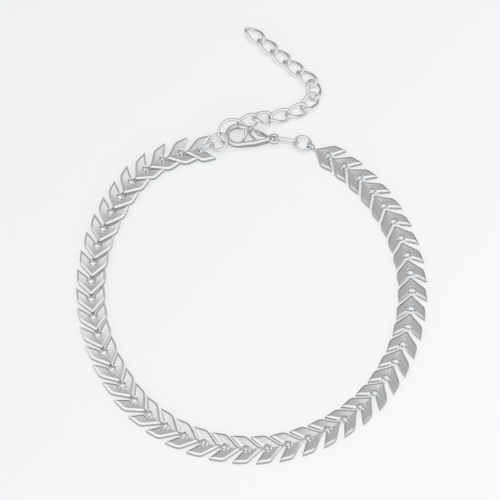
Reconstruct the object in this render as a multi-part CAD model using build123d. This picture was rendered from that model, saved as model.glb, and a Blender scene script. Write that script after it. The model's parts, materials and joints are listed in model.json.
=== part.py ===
from build123d import *
import os
from math import atan2, cos, degrees, dist, hypot, pi, radians, sin, tan

# Silver-plated chevron chain anklet with a lobster clasp and an extender, lying on a flat surface.
# Units are millimetres, +Z is up. The chain is laid out about its own loop, then everything is
# shifted so that the origin is the bottom centre of the whole anklet's box.

# ---------------------------------------------------------------- chevron links
LINK_PITCH = 4.6            # from one link's joint to the next
HALF_WIDTH = 3.2            # from the chain's middle to an arm's end
FACE_LENGTH = 3.7           # along the chain, from the notch to the point
FRONT_SWEEP = 44.0          # degrees between the chain's line and an arm's front edge
END_LENGTH = 3.15           # the arm's end, cut along the chain
FRONT_CORNER_R = 2.0        # rounding of the arm's front corner
PLATE_T = 1.2
EDGE_BEVEL = 0.2
ARM_RISE = 4.0              # degrees that each arm rises outwards
NOSE_DOWN = 3.5             # degrees that the point lies lower than the arms' ends

# joint between two links: a strap from one link's point is curled round the next one's bar
BAR_LENGTH = 0.55           # along the chain
BAR_T = 0.5
HOLE_LENGTH = 1.0
SLOT_WIDTH = 1.6
STRAP_WIDTH = 0.92
STRAP_T = 0.3
CURL_INNER = (1.08, 0.86)    # length, height of the space inside a curl
END_CURL_INNER = (1.5, 1.14) # the last link's curl, which holds the jump ring
CURL_INNER_R = 0.22
CURL_GAP = 0.24             # open slit where the strap's end meets itself

# The loop, from the link by the small ring round to the link by the jump ring. Each row bends
# the chain to the left by the same angle at each of its joints.
LOOP_START = (-11.4, 26.1)
LOOP_START_HEADING = -168.0
LOOP_BENDS = (
    # stretch, joints, degrees at each joint
    ("left shoulder", 4, 11.7),
    ("upper left", 3, 5.3),
    ("left side", 9, 5.7),
    ("lower left", 9, 8.1),
    ("near side", 6, 7.2),
    ("right side", 10, 6.1),
    ("right shoulder", 4, 6.2),
)

# ---------------------------------------------------------------- rings and small links
RING_WIRE = 0.75
RINGS = (
    # ring, radius to the middle of its wire, x, y, z, tilt, heading of its raised side
    ("large_ring", 3.2, -4.11, 29.57, 2.91, 52.3, 100.4),
    ("small_ring", 1.98, -7.19, 27.74, 1.89, 21.1, 39.6),
)
JUMP_RING_R = 1.9           # to the middle of the wire
JUMP_RING_TILT = 5.7
JUMP_RING_HEADING = 160.0   # from the chain's end curl to the ring's middle
TAIL_LINK_WIRE = 0.6
TAIL_LINK_HEIGHT = 2.4      # between the middles of its two strands
TAIL_LINK_ROLL = 13.0
TAIL_LINK_SKEW = 6.0        # heading of its seat in the jump ring, past JUMP_RING_HEADING
TAIL_LINK_SEAT = 0.16       # its wire's place in the clasp's eye, from the eye's middle
CONNECTOR_WIRE = 0.5
CONNECTOR_HEIGHT = 1.9
CONNECTOR_SEAT = 0.78       # its wire's place behind the first link's bar

# ---------------------------------------------------------------- extender
EXTENDER_WIRE = 0.85
EXTENDER_LENGTH = 6.1       # outside length of a link
EXTENDER_WIDTH = 3.8
EXTENDER_TWIST = 0.58       # how far the wire rises and falls round a link
EXTENDER_PITCH = 4.3        # between the middles of two links in line
BEND_SLACK = 0.0075         # how much closer they lie for each degree of bend between them
WIRE_SIDES = 6
LINK_SECTIONS = 20
EXTENDER_START = (-0.40, 32.11)
EXTENDER_BENDS = (
    # link, heading, pitch, roll in degrees, height of its middle
    ("extender_link_11", 34.6, -12.5, 11.35, 3.69),
    ("extender_link_10", 24.8, -28.7, 4.9, 2.03),
    ("extender_link_9", 15.0, 0.0, 0.0, 0.92),
    ("extender_link_8", 23.0, 0.0, 0.0, 0.92),
    ("extender_link_7", 52.0, 0.0, 0.0, 0.92),
    ("extender_link_6", 95.0, 0.0, 0.0, 0.92),
    ("extender_link_5", 136.0, 0.0, 0.0, 0.92),
    ("extender_link_4", 136.0, 0.0, 0.0, 0.92),
    ("extender_link_3", 135.0, 0.0, 0.0, 0.92),
    ("extender_link_2", 134.0, 0.0, 0.0, 0.92),
    ("extender_link_1", 134.0, 0.0, 0.0, 0.92),
)

# ---------------------------------------------------------------- lobster clasp
CLASP_PLACE = (-2.76, 29.68, 1.5)
CLASP_T = 1.8               # at the belly, the lever and the tail
HOOK_T = 1.0                # at the hook's far end
TAPER_END = 4.4             # where the clasp has thickened to CLASP_T
HOOK_R = 3.05
HOOK_HOLE_R = 2.05
BELLY = (3.6, -0.95, 1.75)          # x, y, radius
BELLY_HOLE = (2.9, -1.1, 0.7)
TAIL = (6.7, -1.0, 0.75)
EYE = (8.3, -0.95, 1.3)
EYE_HOLE_R = 0.68
EYE_T = 0.8
BODY_ROUND = 0.35
EYE_ROUND = 0.2
LEVER_PIVOT = (4.85, -0.35)
LEVER_TIP = (1.8, 2.2)
LEVER_BASE_R = 1.15
LEVER_TIP_R = 0.4
LEVER_NUB = (5.85, -0.6, 0.75)    # the thumb end: x, y, radius
LEVER_ROUND = 0.3
LEVER_OPEN = 14.0
TONGUE_R = 0.77
TONGUE_T = 0.9
PIN_R = 0.28
CLEARANCE = 0.1


def turned(length, heading):
    """A flat step of a length in a heading."""
    return length * cos(radians(heading)), length * sin(radians(heading))


# ------------------------------------------------------------------------------ chevron link
def level_place(x, z):
    """A point of the plate's own frame, in the level frame of its link."""
    lift = FACE_LENGTH * sin(radians(NOSE_DOWN))
    tilt = radians(NOSE_DOWN)
    return x * cos(tilt) + z * sin(tilt), lift - x * sin(tilt) + z * cos(tilt)


BAR_X, BAR_Z = level_place(BAR_LENGTH / 2, PLATE_T - BAR_T / 2)


def plate_half():
    """One arm of the V, flat, with its edge bevelled."""
    corner_x = FACE_LENGTH - HALF_WIDTH / tan(radians(FRONT_SWEEP))
    outline = Polyline(
        (0, 0), (FACE_LENGTH, 0), (corner_x, HALF_WIDTH), (corner_x - END_LENGTH, HALF_WIDTH), (0, 0)
    )
    face = make_face(outline)
    front_corner = face.vertices().sort_by_distance((corner_x, HALF_WIDTH, 0))[0]
    face = fillet(front_corner, FRONT_CORNER_R)
    plate = extrude(face, PLATE_T)
    rim = [
        edge
        for edge in plate.edges().group_by(Axis.Z)[-1]
        if max(edge.position_at(0).Y, edge.position_at(1).Y) > EDGE_BEVEL
    ]
    return chamfer(rim, EDGE_BEVEL)


def plate():
    """The V-shaped plate: two arms that rise outwards, a bar at the notch, its point lowered."""
    arm = Rot(X=ARM_RISE) * plate_half()
    far = 4 * HALF_WIDTH
    arm = arm & Pos(0, far / 2, 0) * Box(2 * far, far, far)
    body = arm + mirror(arm, Plane.XZ)
    hole_end = BAR_LENGTH + HOLE_LENGTH
    hole = Pos((BAR_LENGTH + hole_end) / 2, 0, 0) * Box(HOLE_LENGTH, SLOT_WIDTH, far)
    hole = fillet(hole.edges().filter_by(Axis.Z).group_by(Axis.X)[-1], HOLE_LENGTH / 2)
    notch = Pos(-far / 2, 0, 0) * Box(far, SLOT_WIDTH, far)
    channel_top = PLATE_T - BAR_T
    under_bar = Pos(BAR_LENGTH / 2, 0, channel_top - far / 2) * Box(BAR_LENGTH, SLOT_WIDTH, far)
    body = body - hole - notch - under_bar
    lift = FACE_LENGTH * sin(radians(NOSE_DOWN))
    return Pos(0, 0, lift) * Rot(Y=NOSE_DOWN) * body


def strap(inner):
    """The strap from a link's point, ending in a curl that leaves a narrow slit."""
    length, height = inner
    curl_x = LINK_PITCH + BAR_X
    outer = RectangleRounded(length + 2 * STRAP_T, height + 2 * STRAP_T, CURL_INNER_R + STRAP_T)
    space = RectangleRounded(length, height, CURL_INNER_R)
    slit_x = -length / 2 - STRAP_T / 2
    slit_z = -height / 2 + CURL_GAP / 2
    slit = Pos(slit_x, slit_z) * Rectangle(STRAP_T * 2, CURL_GAP)
    root_x = FACE_LENGTH - STRAP_WIDTH
    run = curl_x - root_x
    stem = Pos(-run / 2, -height / 2 - STRAP_T / 2) * Rectangle(run, STRAP_T)
    profile = (outer - space - slit) + stem
    return Pos(curl_x, 0, BAR_Z) * extrude(Plane.XZ * profile, STRAP_WIDTH / 2, both=True)


def chevron_link(inner):
    """A whole link in its level frame: notch at the origin, point along +X."""
    return plate() + strap(inner)


def loop_places():
    """Joint place and heading of each link, going round the loop."""
    turns = [0.0]
    for _, joints, bend in LOOP_BENDS:
        turns += [bend] * joints
    x, y = LOOP_START
    heading = LOOP_START_HEADING
    places = []
    for turn in turns:
        heading += turn
        places.append((x, y, heading))
        step_x, step_y = turned(LINK_PITCH, heading)
        x += step_x
        y += step_y
    return places, (x, y)


def link_location(place):
    """Where a link's level frame lies, for its joint's place and heading."""
    x, y, heading = place
    back_x, back_y = turned(BAR_X, heading)
    return Location((x - back_x, y - back_y, 0), (0, 0, heading))


def chevron_chain():
    """All the links of the loop."""
    places, _ = loop_places()
    link = chevron_link(CURL_INNER)
    links = [link_location(place) * link for place in places[:-1]]
    links.append(link_location(places[-1]) * chevron_link(END_CURL_INNER))
    return links


# ------------------------------------------------------------------------------ rings, links
def lean(tilt, toward):
    """Raises a flat thing's side in the heading toward by tilt degrees."""
    return Rot(Z=toward) * Rot(Y=-tilt) * Rot(Z=-toward)


def leaning_point(place, reach, heading, tilt, toward):
    """A point at a reach and heading from a leaning ring's middle, in the ring's plane."""
    flat = Pos(*turned(reach, heading), 0)
    point = (Pos(*place) * lean(tilt, toward) * flat).position
    return point.X, point.Y, point.Z


def ring(radius, place, tilt, toward):
    """A round wire ring about a place, leaning."""
    return Pos(*place) * lean(tilt, toward) * Torus(radius, RING_WIRE / 2)


def oval_link(length, height, wire):
    """An upright oval link along X, length and height measured to the middle of its wire."""
    end_r = height / 2
    straight = length - height
    half = Pos(straight / 2, 0, 0) * Rot(X=90) * Torus(end_r, wire / 2)
    half = half & Pos(straight / 2 + length, 0, 0) * Box(2 * length, 2 * length, 2 * length)
    bar = Rot(Y=90) * Cylinder(wire / 2, straight)
    bars = Pos(0, 0, end_r) * bar + Pos(0, 0, -end_r) * bar
    return half + bars + mirror(half, Plane.YZ)


def between(shape, start, end, roll=0.0):
    """Places an X-long shape with its middle between two points and along them."""
    run_x = end[0] - start[0]
    run_y = end[1] - start[1]
    rise = end[2] - start[2]
    heading = degrees(atan2(run_y, run_x))
    pitch = degrees(atan2(rise, hypot(run_x, run_y)))
    middle = [(a + b) / 2 for a, b in zip(start, end)]
    return Pos(*middle) * Rot(Z=heading) * Rot(Y=-pitch) * Rot(X=roll) * shape


def jump_ring_place():
    """The middle of the ring that hangs in the chain's end curl."""
    curl_x, curl_y = loop_places()[1]
    step_x, step_y = turned(JUMP_RING_R * cos(radians(JUMP_RING_TILT)), JUMP_RING_HEADING)
    return curl_x + step_x, curl_y + step_y, BAR_Z + JUMP_RING_R * sin(radians(JUMP_RING_TILT))


def tail_link():
    """The link from the clasp's eye to the jump ring."""
    place = jump_ring_place()
    reach = JUMP_RING_R - (RING_WIRE + TAIL_LINK_WIRE) / 2 - CLEARANCE
    lean_by = (JUMP_RING_TILT, JUMP_RING_HEADING)
    end = leaning_point(place, reach, JUMP_RING_HEADING + TAIL_LINK_SKEW, *lean_by)
    eye_x = CLASP_PLACE[0] + EYE[0]
    eye_y = CLASP_PLACE[1] + EYE[1]
    heading = degrees(atan2(end[1] - eye_y, end[0] - eye_x))
    step_x, step_y = turned(TAIL_LINK_SEAT, heading)
    start = (eye_x + step_x, eye_y + step_y, CLASP_PLACE[2])
    end = (end[0], end[1], CLASP_PLACE[2])
    link = oval_link(dist(start, end), TAIL_LINK_HEIGHT, TAIL_LINK_WIRE)
    return between(link, start, end, TAIL_LINK_ROLL)


def chain_connector():
    """The link from the chain's first hole to the small ring."""
    back_x, back_y = turned(CONNECTOR_SEAT, LOOP_START_HEADING)
    height = (CONNECTOR_HEIGHT + CONNECTOR_WIRE) / 2
    start = (LOOP_START[0] + back_x, LOOP_START[1] + back_y, height)
    _, radius, x, y, z, tilt, toward = RINGS[1]
    heading = degrees(atan2(start[1] - y, start[0] - x))
    rim_x, rim_y, _ = leaning_point((x, y, z), radius, heading, tilt, toward)
    seat = (RING_WIRE + CONNECTOR_WIRE) / 2 + CLEARANCE
    step_x, step_y = turned(seat, degrees(atan2(y - rim_y, x - rim_x)))
    end = (rim_x + step_x, rim_y + step_y, height)
    link = oval_link(dist(start, end), CONNECTOR_HEIGHT, CONNECTOR_WIRE)
    return between(link, start, end)


def rings_and_links():
    """The plain rings and small links, by name."""
    named = {}
    for name, radius, x, y, z, tilt, toward in RINGS:
        named[name] = ring(radius, (x, y, z), tilt, toward)
    named["jump_ring"] = ring(JUMP_RING_R, jump_ring_place(), JUMP_RING_TILT, JUMP_RING_HEADING)
    named["tail_link"] = tail_link()
    named["chain_connector"] = chain_connector()
    return named


# ------------------------------------------------------------------------------ extender
def twisted_link():
    """A flat oval link whose wire rises and falls twice round it, as a curb chain's does."""
    half_length = (EXTENDER_LENGTH - EXTENDER_WIRE) / 2
    half_width = (EXTENDER_WIDTH - EXTENDER_WIRE) / 2

    def middle(turn):
        return Vector(
            half_length * cos(turn), half_width * sin(turn), EXTENDER_TWIST * sin(2 * turn)
        )

    def section(turn):
        along = (middle(turn + 0.01) - middle(turn - 0.01)).normalized()
        side = along.cross(Vector(0, 0, 1)).normalized()
        up = side.cross(along)
        spokes = [2 * pi * spoke / WIRE_SIDES for spoke in range(WIRE_SIDES)]
        reach = EXTENDER_WIRE / 2
        return [middle(turn) + side * (reach * cos(a)) + up * (reach * sin(a)) for a in spokes]

    rings = [section(2 * pi * k / LINK_SECTIONS) for k in range(LINK_SECTIONS)]
    faces = []
    for k in range(LINK_SECTIONS):
        this, following = rings[k], rings[(k + 1) % LINK_SECTIONS]
        for s in range(WIRE_SIDES):
            a, b = this[s], this[(s + 1) % WIRE_SIDES]
            c, d = following[(s + 1) % WIRE_SIDES], following[s]
            faces.append(Face(Wire.make_polygon([a, b, c], close=True)))
            faces.append(Face(Wire.make_polygon([a, c, d], close=True)))
    return Solid(Shell(faces))


def extender_links():
    """The extender's links by name, from the large ring to the free end."""
    link = twisted_link()
    x, y = EXTENDER_START
    named = {}
    last = None
    for name, heading, pitch, roll, height in EXTENDER_BENDS:
        if last is not None:
            step = (EXTENDER_PITCH - BEND_SLACK * abs(heading - last[0])) / 2
            for half_heading, half_pitch in (last, (heading, pitch)):
                step_x, step_y = turned(step * cos(radians(half_pitch)), half_heading)
                x += step_x
                y += step_y
        last = (heading, pitch)
        turn = Rot(Z=heading) * Rot(Y=-pitch) * Rot(X=roll)
        named[name] = Pos(x, y, height) * turn * link
    return named


# ------------------------------------------------------------------------------ lobster clasp
def disc(circle, grow=0.0):
    """A flat disc from a row of x, y, radius."""
    x, y, radius = circle
    return Pos(x, y) * Circle(radius + grow)


def hull(*discs):
    """The taut outline round some discs."""
    edges = []
    for item in discs:
        edges += item.edges()
    return make_hull(edges)


def lever_profile(swing=0.0, grow=0.0):
    """The lever's outline, from its tip to its thumb end, swung open by some degrees."""
    pivot_x, pivot_y = LEVER_PIVOT
    base = Circle(LEVER_BASE_R + grow)
    tip = Pos(LEVER_TIP[0] - pivot_x, LEVER_TIP[1] - pivot_y) * Circle(LEVER_TIP_R + grow)
    nub_x, nub_y, nub_r = LEVER_NUB
    nub = Pos(nub_x - pivot_x, nub_y - pivot_y) * Circle(nub_r + grow)
    return Pos(*LEVER_PIVOT) * Rot(Z=swing) * (hull(base, tip) + hull(base, nub))


def lever_space():
    """All that the lever passes over as it opens, with clearance."""
    reach_x = LEVER_TIP[0] - LEVER_PIVOT[0]
    reach_y = LEVER_TIP[1] - LEVER_PIVOT[1]
    reach = hypot(reach_x, reach_y) + LEVER_TIP_R + CLEARANCE
    closed = degrees(atan2(reach_y, reach_x))
    corner_a = turned(reach, closed)
    corner_m = turned(reach, closed + LEVER_OPEN / 2)
    corner_b = turned(reach, closed + LEVER_OPEN)
    rim = ThreePointArc(corner_a, corner_m, corner_b)
    slice_edges = [Line((0, 0), corner_a), rim, Line(corner_b, (0, 0))]
    pie = Pos(*LEVER_PIVOT) * make_face(slice_edges)
    swings = (0, LEVER_OPEN / 2, LEVER_OPEN)
    closed_to_open = [lever_profile(swing, CLEARANCE) for swing in swings]
    return closed_to_open[0] + pie + closed_to_open[1] + closed_to_open[2]


def slab(face, thickness):
    """A flat face thickened evenly up and down."""
    return extrude(face, thickness / 2, both=True)


def rims(casting):
    """The edges round the upper and lower faces of a flat casting."""
    kept = []
    for edge in casting.edges():
        along = edge.tangent_at(0.5)
        upright = abs(along.Z) > 0.9
        fold = edge.geom_type == GeomType.LINE and abs(along.Y) > 0.99
        if not upright and not fold:
            kept.append(edge)
    return kept


def thickness_profile():
    """The clasp's thickness seen from the side: thin at the hook, full behind it."""
    wide = 4 * HOOK_R
    upper = Polyline((-HOOK_R, HOOK_T / 2), (TAPER_END, CLASP_T / 2), (wide, CLASP_T / 2))
    lower = mirror(upper, Plane.XZ)
    ends = [Line(upper @ 0, lower @ 0), Line(upper @ 1, lower @ 1)]
    side = make_face(upper.edges() + lower.edges() + ends)
    return extrude(Plane.XZ * side, wide, both=True)


def clasp_body():
    """Hook, belly, tail and eye in one casting, with a tongue inside the lever."""
    outline = hull(Circle(HOOK_R), disc(BELLY), disc(TAIL))
    opening = hull(Circle(HOOK_HOLE_R), disc(BELLY_HOLE))
    casting = slab(outline - opening, CLASP_T)
    casting = casting & thickness_profile()
    casting = fillet(rims(casting), BODY_ROUND)
    eye = slab(disc(EYE), EYE_T)
    eye = fillet(eye.edges(), EYE_ROUND)
    casting = casting + eye
    casting = casting - slab(lever_space(), 2 * CLASP_T)
    casting = casting - slab(disc((EYE[0], EYE[1], EYE_HOLE_R)), 2 * CLASP_T)
    tongue = slab(hull(disc((*LEVER_PIVOT, TONGUE_R)), disc(TAIL, -CLEARANCE)), TONGUE_T)
    pin_hole = slab(disc((*LEVER_PIVOT, PIN_R)), 2 * CLASP_T)
    return casting + tongue - pin_hole


def clasp_lever():
    """The lever, slotted where it straddles the body's tongue."""
    lever = slab(lever_profile(), CLASP_T) & thickness_profile()
    lever = fillet(rims(lever), LEVER_ROUND)
    slot_t = TONGUE_T + 2 * CLEARANCE
    pocket = slab(disc((*LEVER_PIVOT, TONGUE_R + CLEARANCE)), slot_t)
    tail_heading = degrees(atan2(TAIL[1] - LEVER_PIVOT[1], TAIL[0] - LEVER_PIVOT[0]))
    wide = 4 * LEVER_BASE_R
    side = Pos(*LEVER_PIVOT) * Rot(Z=tail_heading - LEVER_OPEN / 2) * Pos(wide / 2, 0)
    mouth = slab(side * Rectangle(wide, wide), slot_t)
    pin_hole = slab(disc((*LEVER_PIVOT, PIN_R + CLEARANCE / 2)), 2 * CLASP_T)
    return lever - pocket - mouth - pin_hole


def clasp_pin():
    """The plain pin that the lever turns on."""
    return Pos(*LEVER_PIVOT) * Cylinder(PIN_R, CLASP_T)


# ------------------------------------------------------------------------------ assembly
def assembly():
    """Every node by name, in the loop's own frame."""
    nodes = {"chevron_chain": Compound(children=chevron_chain())}
    nodes.update(rings_and_links())
    nodes.update(extender_links())
    clasp = {"clasp_body": clasp_body(), "clasp_lever": clasp_lever(), "clasp_pin": clasp_pin()}
    for name, shape in clasp.items():
        nodes[name] = Pos(*CLASP_PLACE) * shape
    return nodes


def stood_on_origin(nodes):
    """The nodes shifted so that the origin is the bottom centre of the whole anklet's box."""
    boxes = [shape.bounding_box() for shape in nodes.values()]
    low_x, high_x = min(box.min.X for box in boxes), max(box.max.X for box in boxes)
    low_y, high_y = min(box.min.Y for box in boxes), max(box.max.Y for box in boxes)
    low_z = min(box.min.Z for box in boxes)
    shift = Pos(-(low_x + high_x) / 2, -(low_y + high_y) / 2, -low_z)
    return {name: shift * shape for name, shape in nodes.items()}


def main():
    """Writes one STEP file for each node."""
    os.makedirs("parts", exist_ok=True)
    for name, shape in stood_on_origin(assembly()).items():
        export_step(shape, f"parts/{name}.step")


main()
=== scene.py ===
"""Looks of a silver-plated chevron chain anklet: links, rings, extender, clasp and their studio."""

import json
import logging
import math
import random
from dataclasses import dataclass
from enum import Enum
from typing import Callable

import bmesh
import bpy
from mathutils import Matrix, Vector
from mathutils.geometry import tessellate_polygon


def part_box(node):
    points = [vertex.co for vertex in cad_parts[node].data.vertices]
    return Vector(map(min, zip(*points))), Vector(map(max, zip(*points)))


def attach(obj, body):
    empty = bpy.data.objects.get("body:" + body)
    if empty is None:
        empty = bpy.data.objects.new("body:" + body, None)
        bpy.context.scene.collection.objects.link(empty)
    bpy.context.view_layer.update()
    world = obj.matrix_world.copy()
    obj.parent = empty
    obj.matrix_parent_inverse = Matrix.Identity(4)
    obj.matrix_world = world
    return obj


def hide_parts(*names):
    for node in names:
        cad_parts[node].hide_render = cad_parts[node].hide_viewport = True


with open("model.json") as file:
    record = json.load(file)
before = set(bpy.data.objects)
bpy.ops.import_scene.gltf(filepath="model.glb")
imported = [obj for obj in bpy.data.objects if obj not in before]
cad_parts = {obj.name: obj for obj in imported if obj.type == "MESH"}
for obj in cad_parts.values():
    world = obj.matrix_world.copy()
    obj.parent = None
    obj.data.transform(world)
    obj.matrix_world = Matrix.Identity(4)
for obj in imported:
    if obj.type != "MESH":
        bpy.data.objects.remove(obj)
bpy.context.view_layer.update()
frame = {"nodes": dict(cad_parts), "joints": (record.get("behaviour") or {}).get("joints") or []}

LOG = logging.getLogger("anklet")
MM = 0.001
ROOT_BODY = "anklet"
LEVER_BODY = "lever"
# Name of the point attribute that marks where the painted shade of upright sides may fall.
UPRIGHT_SHADE_MARK = "upright_shade"
# Millimetres within which a point lies on the plate's middle line, or on a cut across it.
ON_SEAM = 1e-4
ON_CUT = 1e-5

Point = tuple[float, float]
Colour = tuple[float, float, float]
Stations = list[list[Vector]]
Nodes = bpy.types.NodeTree
Socket = bpy.types.NodeSocket


# -------------------------------------------------------------------------------- shared nodes
def combined(tree: Nodes, operation: str, first: Socket, second: Socket) -> Socket:
    """Joins two values by arithmetic.

    Args:
        tree: The nodes to add to.
        operation: Which arithmetic.
        first: The first value.
        second: The second value.

    Returns:
        The outcome.
    """
    node = tree.nodes.new("ShaderNodeMath")
    node.operation = operation
    tree.links.new(first, node.inputs[0])
    tree.links.new(second, node.inputs[1])
    return node.outputs["Value"]


def remapped(tree: Nodes, value: Socket, source: Point, target: Point,
             curve: str = "LINEAR") -> Socket:
    """Maps one range of a value to another.

    Args:
        tree: The nodes to add to.
        value: The value.
        source: Its low and high end.
        target: What those ends become.
        curve: How it goes from one end to the other.

    Returns:
        The mapped value.
    """
    node = tree.nodes.new("ShaderNodeMapRange")
    node.interpolation_type = curve
    for end, limit in zip(("From Min", "From Max", "To Min", "To Max"), (*source, *target)):
        node.inputs[end].default_value = limit
    tree.links.new(value, node.inputs["Value"])
    return node.outputs["Result"]


def reach_along(tree: Nodes, place: Socket, direction: tuple[float, float, float]) -> Socket:
    """Measures a place along a direction.

    Args:
        tree: The nodes to add to.
        place: The place.
        direction: The direction.

    Returns:
        How far the place lies along it.
    """
    node = tree.nodes.new("ShaderNodeVectorMath")
    node.operation = "DOT_PRODUCT"
    node.inputs[1].default_value = direction
    tree.links.new(place, node.inputs[0])
    return node.outputs["Value"]


# ------------------------------------------------------------------------------------ finishes
class Polish(Enum):
    """How the surface under the plate was worked, as the size of its grain in millimetres."""

    TUMBLED = 0.22
    DRAWN = 0.12
    CAST = 0.35


@dataclass(frozen=True)
class SilverFinish:
    """Bright silver plate with fine wear, soft clouding, painted shade in its corners and painted
    shade on its upright sides.
    """

    name: str
    polish: Polish
    colour: Colour = (0.895, 0.91, 0.925)
    # Painted shade in the hollows: its tint, and the reach and samples of the ambient occlusion
    # that finds them.
    hollow_shade: Colour = (0.52, 0.51, 0.50)
    hollow_shade_reach: float = 0.35 * MM
    hollow_shade_samples: int = 4
    cloud_size: float = 1.6 * MM
    # Powers on the occlusion, spread by the clouds, that make the painted shade in the hollows
    # patchy.
    cloud_shade_power: Point = (0.55, 1.0)
    roughness: float = 0.16
    roughness_spread: float = 0.10
    patch_size: float = 0.9 * MM
    noise_middle: Point = (0.3, 0.7)
    grain_strength: float = 0.16
    grain_depth: float = 0.01 * MM
    ripple_strength: float = 0.10
    ripple_size: float = 1.3 * MM
    ripple_depth: float = 0.05 * MM
    # Painted shade on upright sides: how dark at most, its tint, the slopes of the normal over
    # which it fades out, and whether only marked points get it.
    upright_shade: float = 0.0
    upright_shade_tint: Colour = (0.42, 0.425, 0.43)
    upright_shade_slope: Point = (0.15, 0.45)
    only_marked: bool = False

    def finish_name(self) -> str:
        """The material's name, apart from that of the slot it fills."""
        return f"{self.name}_finish"

    def material(self) -> bpy.types.Material:
        """Builds the node material.

        Returns:
            The material, ready to be assigned to a piece.
        """
        made = bpy.data.materials.new(self.finish_name())
        made.use_nodes = True
        tree = made.node_tree
        shader = tree.nodes["Principled BSDF"]
        shader.inputs["Metallic"].default_value = 1.0
        place = tree.nodes.new("ShaderNodeTexCoord").outputs["Object"]
        self._colour(tree, shader, place)
        self._roughness(tree, shader, place)
        self._relief(tree, shader, place)
        return made

    def _noise(self, tree: Nodes, place: Socket, size: float, detail: float) -> Socket:
        """Adds a noise of a feature size.

        Args:
            tree: The material's nodes.
            place: Where the noise is read.
            size: Rough size of a feature in metres.
            detail: Octaves of finer noise.

        Returns:
            The noise's value.
        """
        noise = tree.nodes.new("ShaderNodeTexNoise")
        noise.inputs["Scale"].default_value = 1.0 / size
        noise.inputs["Detail"].default_value = detail
        tree.links.new(place, noise.inputs["Vector"])
        return noise.outputs["Fac"]

    def _colour(self, tree: Nodes, shader: bpy.types.Node, place: Socket) -> None:
        """Paints shade on the silver in its hollows, found by ambient occlusion and made patchy by
        the clouds, and paints shade on its upright sides.

        Args:
            tree: The material's nodes.
            shader: The surface shader.
            place: Where the noise is read.
        """
        # Painted shade: the silver darkens towards the hollow tint where the ambient occlusion
        # finds shelter, patchily by the clouds.
        shade_occlusion = tree.nodes.new("ShaderNodeAmbientOcclusion")
        shade_occlusion.samples = self.hollow_shade_samples
        shade_occlusion.only_local = True
        shade_occlusion.inputs["Distance"].default_value = self.hollow_shade_reach
        clouds = self._noise(tree, place, self.cloud_size, detail=3.0)
        wear = remapped(tree, clouds, self.noise_middle, self.cloud_shade_power)
        unshaded_share = combined(tree, "POWER", shade_occlusion.outputs["AO"], wear)
        mix = tree.nodes.new("ShaderNodeMix")
        mix.data_type = "RGBA"
        mix.inputs["A"].default_value = (*self.hollow_shade, 1.0)
        mix.inputs["B"].default_value = (*self.colour, 1.0)
        tree.links.new(unshaded_share, mix.inputs["Factor"])
        # Painted shade on upright sides, darkening them towards their tint.
        upright_shading = tree.nodes.new("ShaderNodeMix")
        upright_shading.data_type = "RGBA"
        upright_shading.inputs["B"].default_value = (*self.upright_shade_tint, 1.0)
        tree.links.new(mix.outputs["Result"], upright_shading.inputs["A"])
        tree.links.new(self._upright_shade_share(tree), upright_shading.inputs["Factor"])
        tree.links.new(upright_shading.outputs["Result"], shader.inputs["Base Color"])

    def _upright_shade_share(self, tree: Nodes) -> Socket:
        """Finds the upright sides that get painted shade, and of them only the marked ones where
        the finish says so.

        Args:
            tree: The material's nodes.

        Returns:
            How far a place is on an upright side, times how strongly painted shade darkens such
            sides.
        """
        facing = tree.nodes.new("ShaderNodeSeparateXYZ")
        tree.links.new(tree.nodes.new("ShaderNodeTexCoord").outputs["Normal"], facing.inputs[0])
        steep = tree.nodes.new("ShaderNodeMath")
        steep.operation = "ABSOLUTE"
        tree.links.new(facing.outputs["Z"], steep.inputs[0])
        upright = remapped(tree, steep.outputs["Value"], self.upright_shade_slope, (self.upright_shade, 0.0),
                           "SMOOTHSTEP")
        if not self.only_marked:
            return upright
        mark = tree.nodes.new("ShaderNodeAttribute")
        mark.attribute_name = UPRIGHT_SHADE_MARK
        return combined(tree, "MULTIPLY", upright, mark.outputs["Fac"])

    def _roughness(self, tree: Nodes, shader: bpy.types.Node, place: Socket) -> None:
        """Varies the polish in soft patches.

        Args:
            tree: The material's nodes.
            shader: The surface shader.
            place: Where the noise is read.
        """
        patches = self._noise(tree, place, self.patch_size, detail=4.0)
        low = self.roughness - self.roughness_spread / 2
        high = self.roughness + self.roughness_spread / 2
        uneven = remapped(tree, patches, self.noise_middle, (low, high))
        tree.links.new(uneven, shader.inputs["Roughness"])

    def _relief(self, tree: Nodes, shader: bpy.types.Node, place: Socket) -> None:
        """Adds the metal's grain over a slow ripple left by pressing or casting.

        Args:
            tree: The material's nodes.
            shader: The surface shader.
            place: Where the noise is read.
        """
        ripple = tree.nodes.new("ShaderNodeBump")
        ripple.inputs["Strength"].default_value = self.ripple_strength
        ripple.inputs["Distance"].default_value = self.ripple_depth
        waves = self._noise(tree, place, self.ripple_size, detail=1.0)
        tree.links.new(waves, ripple.inputs["Height"])
        grain = tree.nodes.new("ShaderNodeBump")
        grain.inputs["Strength"].default_value = self.grain_strength
        grain.inputs["Distance"].default_value = self.grain_depth
        specks = self._noise(tree, place, self.polish.value * MM, detail=3.0)
        tree.links.new(specks, grain.inputs["Height"])
        tree.links.new(ripple.outputs["Normal"], grain.inputs["Normal"])
        tree.links.new(grain.outputs["Normal"], shader.inputs["Normal"])


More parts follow.
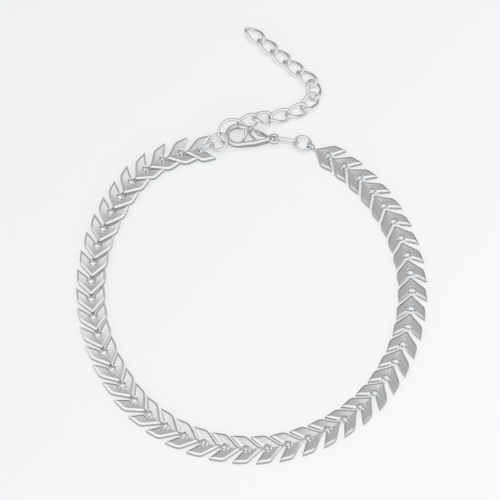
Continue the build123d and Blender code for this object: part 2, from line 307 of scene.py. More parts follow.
# The darker colours given below are tints of painted shade, in the hollows and on upright sides;
# the clasp's are the darkest.
CHAIN_SILVER = SilverFinish("chain_silver", Polish.TUMBLED, hollow_shade=(0.72, 0.715, 0.71),
                            upright_shade=1.0, upright_shade_slope=(0.10, 0.20), only_marked=True)
RING_SILVER = SilverFinish("ring_silver", Polish.DRAWN, colour=(0.86, 0.87, 0.88),
                           roughness=0.14, upright_shade=0.5)
EXTENDER_SILVER = SilverFinish("extender_silver", Polish.DRAWN, colour=(0.88, 0.885, 0.89),
                               roughness=0.15, upright_shade=0.3)
CLASP_SILVER = SilverFinish("clasp_silver", Polish.CAST, colour=(0.87, 0.87, 0.865),
                            hollow_shade=(0.25, 0.245, 0.24), roughness=0.12, upright_shade=0.9,
                            upright_shade_tint=(0.30, 0.30, 0.30))


# --------------------------------------------------------------------------------- mesh bench
class MeshBench:
    """Gathers faces in millimetres and hands them over as one mesh, still in millimetres."""

    def __init__(self, name: str) -> None:
        """Starts an empty mesh for the piece of this name."""
        self.name = name
        self.faces = bmesh.new()

    def sweep(self, stations: Stations, ring: bool) -> None:
        """Skins sections that follow one another.

        Args:
            stations: The sections' points, all sections with the same count.
            ring: Whether the last section joins the first; otherwise both ends are capped.
        """
        rows = [[self.faces.verts.new(point) for point in section] for section in stations]
        count = len(rows[0])
        pairs = list(zip(rows, rows[1:]))
        if ring:
            pairs.append((rows[-1], rows[0]))
        for near, far in pairs:
            for k in range(count):
                after = (k + 1) % count
                self.faces.faces.new((near[k], near[after], far[after], far[k]))
        if not ring:
            self.faces.faces.new(list(reversed(rows[0])))
            self.faces.faces.new(rows[-1])

    def add(self, mesh: bpy.types.Mesh, place: Matrix) -> None:
        """Adds a copy of a mesh.

        Args:
            mesh: The mesh, in millimetres.
            place: Where the copy goes.
        """
        part = bmesh.new()
        part.from_mesh(mesh)
        part.transform(place)
        scratch = bpy.data.meshes.new("scratch")
        part.to_mesh(scratch)
        part.free()
        self.faces.from_mesh(scratch)
        bpy.data.meshes.remove(scratch)

    def mark(self, chosen: Callable[[Vector], bool]) -> None:
        """Marks points gathered so far as places where the painted shade of upright sides may fall.

        Args:
            chosen: Says of a point's place whether it is one of them.
        """
        layer = self.faces.verts.layers.float.new(UPRIGHT_SHADE_MARK)
        for vert in self.faces.verts:
            vert[layer] = float(chosen(vert.co))

    def crease(self, angle: float) -> None:
        """Makes every edge that turns sharply a crease.

        Args:
            angle: The turn in degrees from which an edge is sharp.
        """
        for edge in self.faces.edges:
            if edge.calc_face_angle(0.0) > math.radians(angle):
                edge.smooth = False

    def mesh(self) -> bpy.types.Mesh:
        """Closes the bench.

        Returns:
            The gathered faces as a mesh, still in millimetres.
        """
        bmesh.ops.recalc_face_normals(self.faces, faces=self.faces.faces)
        for face in self.faces.faces:
            face.smooth = True
        made = bpy.data.meshes.new(self.name)
        self.faces.to_mesh(made)
        self.faces.free()
        return made


@dataclass(frozen=True)
class Dressing:
    """What a finished piece gets: its silver, the nodes it stands for and the body it rides on.

    Its edges are creased where they turn by more than an angle in degrees; at 0 the mesh keeps
    its own creases.
    """

    finish: SilverFinish
    replaces: tuple[str, ...]
    body: str = ROOT_BODY
    crease: float = 40.0

    def dress(self, name: str, mesh: bpy.types.Mesh) -> bpy.types.Object:
        """Turns a mesh in millimetres into a finished piece.

        Args:
            name: The piece's name.
            mesh: Its mesh.

        Returns:
            The piece, in metres, on its body.
        """
        mesh.transform(Matrix.Scale(MM, 4))
        mesh.name = name
        if self.crease > 0.0:
            mesh.shade_smooth()
            mesh.set_sharp_from_angle(angle=math.radians(self.crease))
        piece = bpy.data.objects.new(name, mesh)
        bpy.context.scene.collection.objects.link(piece)
        known = bpy.data.materials.get(self.finish.finish_name())
        mesh.materials.clear()
        mesh.materials.append(known or self.finish.material())
        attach(piece, self.body)
        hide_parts(*self.replaces)
        LOG.info("%s: %d faces, stands for %s", name, len(mesh.polygons), self.replaces)
        return piece


def round_section(radius: float, sides: int) -> list[Point]:
    """A round wire's section.

    Args:
        radius: Half the wire.
        sides: Points round it.

    Returns:
        The section's points.
    """
    turns = [2 * math.pi * k / sides for k in range(sides)]
    return [(radius * math.cos(turn), radius * math.sin(turn)) for turn in turns]


def strip_section(width: float, thick: float, corner: float, steps: int) -> list[Point]:
    """A flat strip's section with rounded corners.

    Args:
        width: Across the strip.
        thick: Through the strip.
        corner: Radius of its corners.
        steps: Edges round each corner.

    Returns:
        The section's points.
    """
    points = []
    for quarter, (sx, sy) in enumerate(((1, 1), (-1, 1), (-1, -1), (1, -1))):
        for step in range(steps + 1):
            turn = math.pi / 2 * (quarter + step / steps)
            x = sx * (width / 2 - corner) + corner * math.cos(turn)
            y = sy * (thick / 2 - corner) + corner * math.sin(turn)
            points.append((x, y))
    return points


def stations_along(path: list[Vector], section: list[Point], up: Callable[[int, Vector], Vector],
                   ring: bool) -> Stations:
    """Places a section at each point of a path.

    Args:
        path: The middles.
        section: Points as sideways and upwards reaches.
        up: Gives a rough upward direction for a point's number and the path's direction there.
        ring: Whether the path closes on itself.

    Returns:
        The placed sections.
    """
    placed = []
    count = len(path)
    for k, middle in enumerate(path):
        before = path[k - 1] if ring or k > 0 else middle
        after = path[(k + 1) % count] if ring or k < count - 1 else middle
        along = (after - before).normalized()
        side = along.cross(up(k, along)).normalized()
        rise = side.cross(along)
        placed.append([middle + side * x + rise * y for x, y in section])
    return placed


def arc(middle: Point, radius: float, start: float, end: float, steps: int) -> list[Point]:
    """Points on an arc, both ends included.

    Args:
        middle: The arc's middle.
        radius: Its radius.
        start: First angle in degrees.
        end: Last angle in degrees.
        steps: Edges along it.

    Returns:
        The points.
    """
    points = []
    for k in range(steps + 1):
        turn = math.radians(start + (end - start) * k / steps)
        points.append((middle[0] + radius * math.cos(turn), middle[1] + radius * math.sin(turn)))
    return points


def rounded(corners: list[tuple[float, float, float]], steps: int) -> list[Point]:
    """A closed outline with each corner rounded.

    Args:
        corners: x, y and rounding radius of each corner, anticlockwise.
        steps: Edges round each rounded corner.

    Returns:
        The outline's points.
    """
    outline = []
    count = len(corners)
    for k, (x, y, radius) in enumerate(corners):
        here = Vector((x, y))
        to_last = (Vector(corners[k - 1][:2]) - here).normalized()
        to_next = (Vector(corners[(k + 1) % count][:2]) - here).normalized()
        if radius <= 0:
            outline.append((x, y))
            continue
        half = to_last.angle(to_next) / 2
        middle = here + (to_last + to_next).normalized() * (radius / math.sin(half))
        first = here + to_last * (radius / math.tan(half)) - middle
        last = here + to_next * (radius / math.tan(half)) - middle
        turn = first.angle_signed(last)
        for step in range(steps + 1):
            spun = Matrix.Rotation(-turn * step / steps, 2) @ first
            outline.append(tuple(middle + spun))
    return outline


def inset(outline: list[Point], reach: float) -> list[Point]:
    """An outline drawn in on all sides, its corners mitred.

    Args:
        outline: The outline, anticlockwise.
        reach: How far it is drawn in.

    Returns:
        The drawn-in outline, with as many points.
    """
    drawn = []
    count = len(outline)
    for k, point in enumerate(outline):
        here = Vector(point)
        before = (here - Vector(outline[k - 1])).normalized()
        after = (Vector(outline[(k + 1) % count]) - here).normalized()
        inward = Vector((-before.y - after.y, before.x + after.x))
        drawn.append(tuple(here + inward * (reach / (1.0 + before.dot(after)))))
    return drawn


def pressed_plate(outline: list[Point], hole: list[Point], thick: float, rim: Point,
                  foot: float, hole_rim: float) -> bpy.types.Mesh:
    """A flat plate with one hole, standing on z = 0, its rims bevelled.

    Args:
        outline: The plate's outline, anticlockwise.
        hole: The hole's outline, clockwise.
        thick: Its thickness.
        rim: Width and fall of the bevel round its upper face.
        foot: Width of the bevel round its lower face.
        hole_rim: Width of the bevel round the hole.

    Returns:
        The plate's mesh.
    """
    work = bmesh.new()
    ends: list[list[list[Point]]] = [[], []]
    for ring, (upper, fall) in ((outline, rim), (hole, (hole_rim, hole_rim))):
        levels = [(inset(ring, foot), 0.0), (ring, foot), (ring, thick - fall),
                  (inset(ring, upper), thick)]
        rows = [[work.verts.new((x, y, z)) for x, y in points] for points, z in levels]
        for near, far in zip(rows, rows[1:]):
            for k in range(len(ring)):
                after = (k + 1) % len(ring)
                work.faces.new((near[k], near[after], far[after], far[k]))
        ends[0].append(rows[0])
        ends[1].append(rows[-1])
    for rings in ends:
        flat = [vert for ring in rings for vert in ring]
        for triangle in tessellate_polygon([[vert.co for vert in ring] for ring in rings]):
            work.faces.new([flat[k] for k in triangle])
    bmesh.ops.recalc_face_normals(work, faces=work.faces)
    mesh = bpy.data.meshes.new("plate")
    work.to_mesh(mesh)
    work.free()
    return mesh


# ------------------------------------------------------------------------------- the whole lie
@dataclass(frozen=True)
class Stretch:
    """A stretch of the chain that bends evenly to the left, by degrees at each joint."""

    joints: int
    bend: float


@dataclass(frozen=True)
class Lie:
    """How the anklet lies: the loop's stretches and the shift from the loop to the frame."""

    pitch: float = 4.6
    start: Point = (-11.4, 26.1)
    heading: float = -168.0
    lever_pivot: Point = (2.09, 29.33)
    stretches: tuple[Stretch, ...] = (
        Stretch(4, 11.7),  # left shoulder
        Stretch(3, 5.3),  # upper left
        Stretch(9, 5.7),  # left side
        Stretch(9, 8.1),  # lower left
        Stretch(6, 7.2),  # near side
        Stretch(10, 6.1),  # right side
        Stretch(4, 6.2),  # right shoulder
    )

    def shift(self) -> Vector:
        """From the loop's own middle to the frame's origin, in millimetres."""
        pivot = Vector(frame["joints"][0]["pos_m"]) / MM
        return Vector((pivot.x - self.lever_pivot[0], pivot.y - self.lever_pivot[1], 0.0))

    def joints(self) -> list[tuple[Vector, float]]:
        """Walks round the loop.

        Returns:
            Each link's joint and heading in degrees, in the frame, in millimetres.
        """
        bends = [0.0]
        for stretch in self.stretches:
            bends += [stretch.bend] * stretch.joints
        place = Vector((*self.start, 0.0)) + self.shift()
        heading = self.heading
        walked = []
        for bend in bends:
            heading += bend
            walked.append((place.copy(), heading))
            turn = math.radians(heading)
            place += Vector((self.pitch * math.cos(turn), self.pitch * math.sin(turn), 0.0))
        return walked


# -------------------------------------------------------------------------------- chevron chain
class Curl(Enum):
    """Length and height of the space inside a link's curl."""

    JOINT = (0.92, 0.64)
    END = (1.5, 1.1)


@dataclass
class ChevronChain:
    """The loop of pressed V-shaped links, each curled round the next one's bar."""

    lie: Lie
    half_width: float = 3.2
    face_length: float = 3.7
    front_sweep: float = 44.0
    end_length: float = 3.15
    front_corner: float = 2.0
    thick: float = 1.2
    rim: float = 0.42
    rim_fall: float = 0.22
    foot: float = 0.10
    hole_rim: float = 0.08
    wear: float = 0.05
    worn_angle: float = 20.0
    corner_steps: int = 6
    plate_crease: float = 9.0
    strap_crease: float = 40.0
    arm_rise: float = 4.0
    nose_down: float = 3.5
    dish: float = 8.0
    dish_cuts: int = 8
    bar_length: float = 0.55
    bar_thick: float = 0.5
    bar_corner: float = 0.18
    bar_rounding: int = 4
    bar_hold: float = 0.15
    hole_length: float = 0.74
    hole_steps: int = 5
    slot_width: float = 1.36
    strap_width: float = 0.92
    strap_thick: float = 0.26
    strap_corner: float = 0.09
    strap_rounding: int = 3
    strap_level: float = 0.4
    curl_corner: float = 0.30
    curl_steps: int = 5
    curl_gap: float = 0.24
    settled_roll: float = 1.1
    settled_nose: float = 0.6
    lot: int = 7

    def level(self, x: float, z: float) -> Point:
        """A point of the plate, in the level frame of its link.

        Args:
            x: Along the plate.
            z: Above its underside.

        Returns:
            Along and above the level.
        """
        tilt = math.radians(self.nose_down)
        lift = self.face_length * math.sin(tilt)
        along = x * math.cos(tilt) + z * math.sin(tilt)
        return along, lift - x * math.sin(tilt) + z * math.cos(tilt)

    def corner_x(self) -> float:
        """Where an arm's front corner is along the plate."""
        return self.face_length - self.half_width / math.tan(math.radians(self.front_sweep))

    def tail_x(self) -> float:
        """Where an arm's tail is along the plate."""
        return self.corner_x() - self.end_length

    def outline(self) -> list[Point]:
        """The plate's outline with the slot behind its bar.

        Returns:
            The outline's points, anticlockwise.
        """
        slot = self.slot_width / 2
        corner_x = self.corner_x()
        tail_x = self.tail_x()
        slot_x = tail_x * slot / self.half_width
        side = [
            (self.face_length, 0.0, 0.0),
            (corner_x, self.half_width, self.front_corner),
            (tail_x, self.half_width, 0.0),
            (slot_x, slot, 0.0),
            (0.0, slot, 0.0),
        ]
        other = [(x, -y, radius) for x, y, radius in reversed(side[1:])]
        return rounded(side + other, self.corner_steps)

    def hole(self) -> list[Point]:
        """The hole in front of the bar.

        Returns:
            The hole's points, clockwise.
        """
        slot = self.slot_width / 2
        far = self.bar_length + self.hole_length
        turn = self.hole_length / 2
        outline = rounded([(self.bar_length, -slot, 0.0), (far, -slot, turn),
                           (far, slot, turn), (self.bar_length, slot, 0.0)], self.hole_steps)
        return list(reversed(outline))

    def plate(self) -> bpy.types.Mesh:
        """The V-shaped plate in its link's level frame.

        Returns:
            The plate, its edges worn, dished, its arms raised and its point lowered.
        """
        mesh = pressed_plate(self.outline(), self.hole(), self.thick,
                             (self.rim, self.rim_fall), self.foot, self.hole_rim)
        work = bmesh.new()
        work.from_mesh(mesh)
        sharp = math.radians(self.worn_angle)
        corners = [edge for edge in work.edges if edge.calc_face_angle(0.0) > sharp]
        bmesh.ops.bevel(work, geom=corners, offset=self.wear, segments=2, profile=0.5,
                        affect="EDGES", clamp_overlap=True)
        self._dished(work)
        self._raised(work)
        work.to_mesh(mesh)
        work.free()
        return mesh

    def _dished(self, work: bmesh.types.BMesh) -> None:
        """Cuts the flat plate across and hollows it from point to tails.

        Args:
            work: The plate's faces.
        """
        tail_x = self.tail_x()
        cuts = [((0, 0, 0), (0, 1, 0))]
        for k in range(1, self.dish_cuts):
            x = tail_x + (self.face_length - tail_x) * k / self.dish_cuts
            cuts.append(((x, 0, 0), (1, 0, 0)))
        for place, across in cuts:
            everything = work.verts[:] + work.edges[:] + work.faces[:]
            bmesh.ops.bisect_plane(work, geom=everything, dist=ON_CUT, plane_co=place,
                                   plane_no=across)
        half = (self.face_length - tail_x) / 2
        for vert in work.verts:
            reach = (vert.co.x - tail_x - half) / half
            vert.co.z -= half / 2 * math.radians(self.dish) * (1 - reach * reach)

    def _raised(self, work: bmesh.types.BMesh) -> None:
        """Folds the plate's arms up along its middle and tips its point down.

        Args:
            work: The plate's faces.
        """
        rise = math.radians(self.arm_rise)
        tilt = math.radians(self.nose_down)
        lift = self.face_length * math.sin(tilt)
        for vert in work.verts:
            side = math.copysign(1.0, vert.co.y)
            raised = Matrix.Rotation(side * rise, 4, "X") @ vert.co
            if abs(vert.co.y) < ON_SEAM:
                raised = Vector((vert.co.x, 0.0, vert.co.z / math.cos(rise)))
            vert.co = Matrix.Rotation(tilt, 4, "Y") @ raised + Vector((0, 0, lift))

    def bar_middle(self) -> Point:
        """The bar's middle in its link's level frame, along and above."""
        return self.level(self.bar_length / 2, self.thick - self.bar_thick / 2)

    def bar(self) -> Stations:
        """The rounded bar between hole and slot, its ends let into the plate.

        Returns:
            The bar's sections.
        """
        reach = self.slot_width / 2 + self.bar_hold
        x, z = self.bar_middle()
        tilt = Matrix.Rotation(math.radians(self.nose_down), 3, "Y")
        section = strip_section(self.bar_length, self.bar_thick, self.bar_corner,
                                self.bar_rounding)
        path = [Vector((x, y, z)) for y in (-reach, -reach / 2, 0, reach / 2, reach)]
        return stations_along(path, section, lambda k, along: tilt @ Vector((0, 0, 1)), False)

    def strap(self, curl: Curl) -> Stations:
        """The strap from the point, curled back round the next link's bar.

        Args:
            curl: Which curl the link ends in.

        Returns:
            The strap's sections.
        """
        length, height = curl.value
        bar_x, bar_z = self.bar_middle()
        middle_x = self.lie.pitch + bar_x
        half_l = (length + self.strap_thick) / 2
        half_h = (height + self.strap_thick) / 2
        turn = self.curl_corner + self.strap_thick / 2
        route = [(self.face_length - self.strap_width - middle_x, -half_h)]
        route.append((-half_l * self.strap_level, -half_h))
        route += arc((half_l - turn, turn - half_h), turn, -90, 0, self.curl_steps)
        route += arc((half_l - turn, half_h - turn), turn, 0, 90, self.curl_steps)
        route += arc((turn - half_l, half_h - turn), turn, 90, 180, self.curl_steps)
        route.append((-half_l, self.curl_gap - height / 2))
        path = [Vector((middle_x + x, 0.0, bar_z + z)) for x, z in route]
        section = strip_section(self.strap_thick, self.strap_width, self.strap_corner,
                                self.strap_rounding)
        return stations_along(path, section, lambda k, along: Vector((0, 1, 0)), False)

    def outside(self, place: Vector) -> bool:
        """Whether a place of the plate is clear of its hole and slot."""
        reach = self.bar_length + self.hole_length + self.hole_rim
        return place.x > reach or abs(place.y) > self.slot_width / 2 + self.hole_rim

    def link(self, curl: Curl) -> bpy.types.Mesh:
        """One whole link in its level frame.

        Args:
            curl: Which curl it ends in.

        Returns:
            The link's mesh in millimetres.
        """
        bench = MeshBench("link")
        bench.add(self.plate(), Matrix.Identity(4))
        # Only the plate's outer sides get painted shade; the walls of its hole and slot stay
        # bright.
        bench.mark(self.outside)
        bench.crease(self.plate_crease)
        bench.sweep(self.bar(), False)
        bench.sweep(self.strap(curl), False)
        bench.crease(self.strap_crease)
        return bench.mesh()

    def build(self) -> bpy.types.Object:
        """Lays the links round the loop as one piece.

        Returns:
            The dressed chain.
        """
        bench = MeshBench("chevron_links")
        bar_x, _ = self.bar_middle()
        walked = self.lie.joints()
        link = self.link(Curl.JOINT)
        last = self.link(Curl.END)
        lot = random.Random(self.lot)
        for k, (joint, heading) in enumerate(walked):
            roll = math.radians(lot.uniform(-self.settled_roll, self.settled_roll))
            nose = math.radians(lot.uniform(-self.settled_nose, 0.0))
            turn = (Matrix.Rotation(math.radians(heading), 4, "Z")
                    @ Matrix.Rotation(roll, 4, "X") @ Matrix.Rotation(nose, 4, "Y"))
            place = Matrix.Translation(joint) @ turn @ Matrix.Translation((-bar_x, 0, 0))
            bench.add(last if k == len(walked) - 1 else link, place)
        dressing = Dressing(CHAIN_SILVER, ("chevron_chain",), crease=0.0)
        return dressing.dress("chevron_links", bench.mesh())


# ------------------------------------------------------------------------------ rings and links
@dataclass
class RoundRing:
    """An open wire ring with its ends butted together, leaning over by an angle in degrees."""

    node: str
    radius: float
    tilt: float
    toward: float
    joint_at: float
    wire: float = 0.75
    joint_gap: float = 0.05
    end_taper: float = 0.86
    steps: int = 72
    sides: int = 16

    def middle(self) -> Vector:
        """The ring's middle, from its node's box, in millimetres."""
        low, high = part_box(self.node)
        return (low + high) / 2 / MM

    def lean(self) -> Matrix:
        """The turn from a ring that lies flat to this one."""
        return (Matrix.Rotation(math.radians(self.toward), 3, "Z")
                @ Matrix.Rotation(-math.radians(self.tilt), 3, "Y"))

    def path(self) -> list[Vector]:
        """The middle of the wire, from one end at the butt joint to the other.

        Returns:
            Points along it.
        """
        gap = self.joint_gap / self.radius
        first = math.radians(self.joint_at) + gap / 2
        points = []
        for k in range(self.steps + 1):
            turn = first + (2 * math.pi - gap) * k / self.steps
            flat = Vector((self.radius * math.cos(turn), self.radius * math.sin(turn), 0.0))
            points.append(self.middle() + self.lean() @ flat)
        return points

    def build(self) -> bpy.types.Object:
        """Bends the wire into the ring.

        Returns:
            The dressed ring.
        """
        path = self.path()
        normal = self.lean() @ Vector((0, 0, 1))
        section = round_section(self.wire / 2, self.sides)
        stations = stations_along(path, section, lambda k, along: normal, False)
        for end in (0, -1):
            middle = path[end]
            stations[end] = [middle + (point - middle) * self.end_taper for point in stations[end]]
        bench = MeshBench(self.node)
        bench.sweep(stations, False)
        return Dressing(RING_SILVER, (self.node,)).dress(f"{self.node}_wire", bench.mesh())


@dataclass
class OvalLink:
    """A small upright oval link between two other parts, turned by angles in degrees."""

    node: str
    heading: float
    height: float
    wire: float
    roll: float = 0.0
    bend_steps: int = 14
    sides: int = 12

    def build(self) -> bpy.types.Object:
        """Bends the wire into an oval.

        Returns:
            The dressed link.
        """
        low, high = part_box(self.node)
        turned = math.radians(self.heading)
        length = ((high.x - low.x) / MM - self.wire) / math.cos(turned)
        turn = self.height / 2
        flat = (length - self.height) / 2
        route = arc((flat, 0.0), turn, -90, 90, self.bend_steps)
        route += arc((-flat, 0.0), turn, 90, 270, self.bend_steps)
        lean = (Matrix.Rotation(turned, 3, "Z")
                @ Matrix.Rotation(math.radians(self.roll), 3, "X"))
        middle = (low + high) / 2 / MM
        path = [middle + lean @ Vector((x, 0.0, z)) for x, z in route]
        side = lean @ Vector((0, 1, 0))
        stations = stations_along(path, round_section(self.wire / 2, self.sides),
                                  lambda k, along: side, True)
        bench = MeshBench(self.node)
        bench.sweep(stations, True)
        return Dressing(RING_SILVER, (self.node,)).dress(f"{self.node}_wire", bench.mesh())


# ------------------------------------------------------------------------------------- extender
@dataclass(frozen=True)
class ExtenderPlace:
    """How one extender link lies, in degrees."""

    number: int
    heading: float
    pitch: float = 0.0
    roll: float = 0.0


@dataclass
class Extender:
    """The chain of twisted curb links by which the anklet is made longer."""

    wire: float = 0.82
    length: float = 6.1
    width: float = 3.8
    twist: float = 0.56
    steps: int = 72
    sides: int = 14
    places: tuple[ExtenderPlace, ...] = (
        ExtenderPlace(11, 34.6, -12.5, 11.35),
        ExtenderPlace(10, 24.8, -28.7, 4.9),
        ExtenderPlace(9, 15.0),
        ExtenderPlace(8, 23.0),
        ExtenderPlace(7, 52.0),
        ExtenderPlace(6, 95.0),
        ExtenderPlace(5, 136.0),
        ExtenderPlace(4, 136.0),
        ExtenderPlace(3, 135.0),
        ExtenderPlace(2, 134.0),
        ExtenderPlace(1, 134.0),
    )

    def path(self) -> list[Vector]:
        """The middle of one link's wire, which rises and falls twice round it.

        Returns:
            Points along it.
        """
        half_length = (self.length - self.wire) / 2
        half_width = (self.width - self.wire) / 2
        points = []
        for k in range(self.steps):
            turn = 2 * math.pi * k / self.steps
            points.append(Vector((half_length * math.cos(turn), half_width * math.sin(turn),
                                  self.twist * math.sin(2 * turn))))
        return points

    def link(self) -> bpy.types.Mesh:
        """One link about its own middle.

        Returns:
            The link's mesh in millimetres.
        """
        bench = MeshBench("extender")
        section = round_section(self.wire / 2, self.sides)
        stations = stations_along(self.path(), section, lambda k, along: Vector((0, 0, 1)), True)
        bench.sweep(stations, True)
        return bench.mesh()

    def build(self) -> list[bpy.types.Object]:
        """Lays every link where its node lies.

        Returns:
            The dressed links.
        """
        pieces = []
        shape = self.link()
        for place in self.places:
            node = f"extender_link_{place.number}"
            low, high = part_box(node)
            turn = (Matrix.Rotation(math.radians(place.heading), 4, "Z")
                    @ Matrix.Rotation(-math.radians(place.pitch), 4, "Y")
                    @ Matrix.Rotation(math.radians(place.roll), 4, "X"))
            bench = MeshBench(node)
            bench.add(shape, Matrix.Translation((low + high) / 2 / MM) @ turn)
            pieces.append(Dressing(EXTENDER_SILVER, (node,)).dress(f"{node}_wire", bench.mesh()))
        return pieces


# -------------------------------------------------------------------------------- lobster clasp
@dataclass
class LobsterClasp:
    """The cast clasp: its body and lever softened as by tumbling, and the pin's domed ends."""

    grain: float = 0.075
    softening: int = 20
    softening_step: float = 0.5
    swelling: float = 0.07
    edge_crease: float = 80.0
    pin_radius: float = 0.28
    pin_dome: float = 0.06
    pin_rounding: tuple[Point, ...] = ((0.02, 1.0), (0.6, 0.8), (0.9, 0.3))
    pin_chamfer: float = 0.03
    pin_waist: float = 0.4
    pin_sides: int = 24
    lever_reach: Point = (-3.05, 2.55)
    lever_widths: Point = (1.15, 0.4)
    lever_core: float = 0.6
    lever_dome: float = 0.9

    def softened(self, node: str) -> bpy.types.Mesh:
        """The node's casting with its edges rolled over.

        Args:
            node: The CAD node to take the form from.

        Returns:
            The softened mesh in millimetres.
        """
        source = frame["nodes"][node].data.copy()
        source.transform(Matrix.Scale(1 / MM, 4))
        blank = bpy.data.objects.new("blank", source)
        bpy.context.scene.collection.objects.link(blank)
        remesh = blank.modifiers.new("grain", "REMESH")
        remesh.mode = "VOXEL"
        remesh.voxel_size = self.grain
        smooth = blank.modifiers.new("tumble", "SMOOTH")
        smooth.factor = self.softening_step
        smooth.iterations = self.softening
        swell = blank.modifiers.new("swell", "DISPLACE")
        swell.mid_level = 0.0
        swell.strength = self.swelling
        graph = bpy.context.evaluated_depsgraph_get()
        mesh = bpy.data.meshes.new_from_object(blank.evaluated_get(graph))
        bpy.data.objects.remove(blank)
        bpy.data.meshes.remove(source)
        return mesh

    def domed_lever(self) -> bpy.types.Mesh:
        """The softened lever with its faces rounded over from its middle line.

        Returns:
            The lever's mesh in millimetres.
        """
        mesh = self.softened("clasp_lever")
        low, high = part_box("clasp_pin")
        pivot = (low + high) / 2 / MM
        reach = Vector((*self.lever_reach, 0.0))
        along = reach.normalized()
        across = Vector((-along.y, along.x, 0.0))
        base, tip = self.lever_widths
        for vert in mesh.vertices:
            place = vert.co - pivot
            share = min(max(place.dot(along) / reach.length, 0.0), 1.0)
            off = min(abs(place.dot(across)) / (base + (tip - base) * share), 1.0)
            proud = abs(place.z) - self.lever_core
            if proud > 0:
                rise = self.lever_core + proud * (1 - self.lever_dome * off * off)
                vert.co.z = pivot.z + math.copysign(rise, place.z)
        return mesh

    def pin(self) -> bpy.types.Mesh:
        """The pin with a low dome at each end.

        Returns:
            The pin's mesh in millimetres.
        """
        low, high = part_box("clasp_pin")
        middle = (low + high) / 2 / MM
        half = (high.z - low.z) / 2 / MM
        end = [(reach, half + self.pin_dome * rise) for reach, rise in self.pin_rounding]
        end += [(1.0, half - self.pin_chamfer), (1.0, half * self.pin_waist)]
        bench = MeshBench("pin")
        stations = []
        for reach, z in [(reach, -z) for reach, z in end] + list(reversed(end)):
            ring = round_section(self.pin_radius * reach, self.pin_sides)
            stations.append([middle + Vector((x, y, z)) for x, y in ring])
        bench.sweep(stations, False)
        return bench.mesh()

    def build(self) -> list[bpy.types.Object]:
        """Makes body, lever and pin.

        Returns:
            The dressed pieces.
        """
        body = Dressing(CLASP_SILVER, ("clasp_body",), crease=self.edge_crease)
        lever = Dressing(CLASP_SILVER, ("clasp_lever",), LEVER_BODY, self.edge_crease)
        pin = Dressing(CLASP_SILVER, ("clasp_pin",))
        return [
            body.dress("clasp_casting", self.softened("clasp_body")),
            lever.dress("clasp_lever_casting", self.domed_lever()),
            pin.dress("clasp_rivet", self.pin()),
        ]


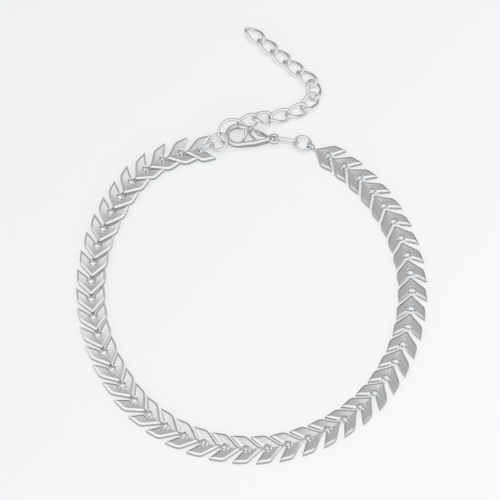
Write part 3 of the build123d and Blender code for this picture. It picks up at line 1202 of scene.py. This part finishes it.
# --------------------------------------------------------------------------------------- studio
@dataclass
class Studio:
    """Pale floor, soft light and the camera, in metres.

    The sky's stops go from straight away from the light to straight at it, -1 to 1, each with
    the brightness there.
    """

    target: Vector
    elevation: float = 59.5
    distance: float = 0.561
    lens: float = 179.8
    sensor: float = 36.0
    floor_colour: Colour = (0.90, 0.915, 0.93)
    floor_roughness: float = 0.9
    floor_sheen: float = 0.1
    floor_side: float = 3.0
    floor_glow: float = 1.0
    floor_tint: Colour = (0.97, 0.985, 1.0)
    # Painted light on the floor: the glow's share at the far left and at the near right, and the
    # direction and reach over which it changes.
    floor_fill: Point = (0.35, 0.85)
    fade_across: tuple[float, float, float] = (1.0, -0.86, 0.0)
    fade_reach: float = 0.112
    light_lean: float = 35.0
    sky: tuple[Point, ...] = (
        (-0.60, 0.22),
        (0.00, 0.38),
        (0.18, 0.45),
        (0.44, 0.48),
        (0.53, 0.71),
        (0.62, 0.88),
        (0.82, 0.97),
        (1.00, 1.00),
    )
    lamp_power: float = 1.6
    lamp_size: float = 0.9
    lamp_place: tuple[float, float, float] = (-0.15, 0.1, 0.9)

    def camera(self) -> None:
        """Stands the camera before the anklet, looking down at it."""
        data = bpy.data.cameras.new("camera")
        data.lens = self.lens
        data.sensor_width = self.sensor
        data.clip_start = 0.01
        camera = bpy.data.objects.new("camera", data)
        rise = math.radians(self.elevation)
        back = Vector((0.0, -math.cos(rise), math.sin(rise)))
        camera.location = self.target + back * self.distance
        camera.rotation_euler = (math.pi / 2 - rise, 0.0, 0.0)
        bpy.context.scene.collection.objects.link(camera)
        bpy.context.scene.camera = camera

    def floor(self) -> None:
        """Lays the pale floor, with a painted glow as it is seen."""
        half = self.floor_side / 2
        mesh = bpy.data.meshes.new("floor")
        corners = [(-half, -half, 0), (half, -half, 0), (half, half, 0), (-half, half, 0)]
        mesh.from_pydata(corners, [], [(0, 1, 2, 3)])
        floor = bpy.data.objects.new("floor", mesh)
        bpy.context.scene.collection.objects.link(floor)
        material = bpy.data.materials.new("floor_paper")
        material.use_nodes = True
        shader = material.node_tree.nodes["Principled BSDF"]
        shader.inputs["Base Color"].default_value = (*self.floor_colour, 1.0)
        shader.inputs["Roughness"].default_value = self.floor_roughness
        shader.inputs["Specular IOR Level"].default_value = self.floor_sheen
        self._painted_floor_glow(material.node_tree, shader)
        mesh.materials.append(material)

    def _painted_floor_glow(self, tree: Nodes, shader: bpy.types.Node) -> None:
        """Lifts the floor towards white as it is seen by camera and glossy rays, most at its near
        right corner: painted light that falls unevenly and thins the floor's shadow.

        Args:
            tree: The floor material's nodes.
            shader: Its surface shader.
        """
        glow = tree.nodes.new("ShaderNodeEmission")
        glow.inputs["Color"].default_value = (*self.floor_tint, 1.0)
        glow.inputs["Strength"].default_value = self.floor_glow
        path = tree.nodes.new("ShaderNodeLightPath")
        seen = combined(tree, "MAXIMUM", path.outputs["Is Camera Ray"],
                        path.outputs["Is Glossy Ray"])
        place = tree.nodes.new("ShaderNodeTexCoord").outputs["Object"]
        fade = remapped(tree, reach_along(tree, place, self.fade_across),
                        (-self.fade_reach, self.fade_reach), self.floor_fill)
        mix = tree.nodes.new("ShaderNodeMixShader")
        tree.links.new(combined(tree, "MULTIPLY", seen, fade), mix.inputs["Fac"])
        tree.links.new(shader.outputs["BSDF"], mix.inputs[1])
        tree.links.new(glow.outputs["Emission"], mix.inputs[2])
        output = tree.nodes["Material Output"]
        tree.links.new(mix.outputs["Shader"], output.inputs["Surface"])

    def world(self) -> None:
        """Surrounds the anklet with one broad soft light, overhead and in front, in a grey room."""
        world = bpy.data.worlds.new("room")
        world.use_nodes = True
        bpy.context.scene.world = world
        tree = world.node_tree
        direction = tree.nodes.new("ShaderNodeTexCoord").outputs["Generated"]
        lean = math.radians(self.light_lean)
        facing = reach_along(tree, direction, (0.0, -math.sin(lean), math.cos(lean)))
        share = remapped(tree, facing, (-1.0, 1.0), (0.0, 1.0))
        ramp = tree.nodes.new("ShaderNodeValToRGB")
        stops = ramp.color_ramp.elements
        while len(stops) < len(self.sky):
            stops.new(0.5)
        for stop, (place, level) in zip(stops, self.sky):
            stop.position = (place + 1.0) / 2.0
            stop.color = (level, level, level, 1.0)
        tree.links.new(share, ramp.inputs["Fac"])
        tree.links.new(ramp.outputs["Color"], tree.nodes["Background"].inputs["Color"])

    def lamp(self) -> None:
        """Hangs the soft overhead lamp that lights the floor."""
        data = bpy.data.lights.new("overhead", "AREA")
        data.shape = "DISK"
        data.size = self.lamp_size
        data.energy = self.lamp_power
        lamp = bpy.data.objects.new("overhead", data)
        lamp.location = self.lamp_place
        aim = -Vector(lamp.location)
        lamp.rotation_euler = aim.to_track_quat("-Z", "Y").to_euler()
        lamp.visible_glossy = False
        bpy.context.scene.collection.objects.link(lamp)

    def build(self) -> None:
        """Sets the studio up."""
        self.camera()
        self.floor()
        self.world()
        self.lamp()
        bpy.context.scene.view_settings.view_transform = "Standard"
        LOG.info("studio: camera %.1f degrees up, %.0f mm away", self.elevation,
                 self.distance / MM)


def main() -> None:
    """Builds the studio and every piece of the anklet."""
    logging.basicConfig(level=logging.INFO, format="%(name)s: %(message)s")
    lie = Lie()
    Studio(target=lie.shift() * MM).build()
    ChevronChain(lie).build()
    RoundRing("large_ring", radius=3.2, tilt=52.3, toward=100.4, joint_at=200.0).build()
    RoundRing("small_ring", radius=1.98, tilt=21.1, toward=39.6, joint_at=60.0).build()
    RoundRing("jump_ring", radius=1.9, tilt=5.7, toward=160.0, joint_at=100.0).build()
    OvalLink("tail_link", heading=-9.08, height=2.4, wire=0.6, roll=13.0).build()
    OvalLink("chain_connector", heading=20.28, height=1.9, wire=0.5).build()
    Extender().build()
    LobsterClasp().build()


if __name__ == "__main__":
    main()
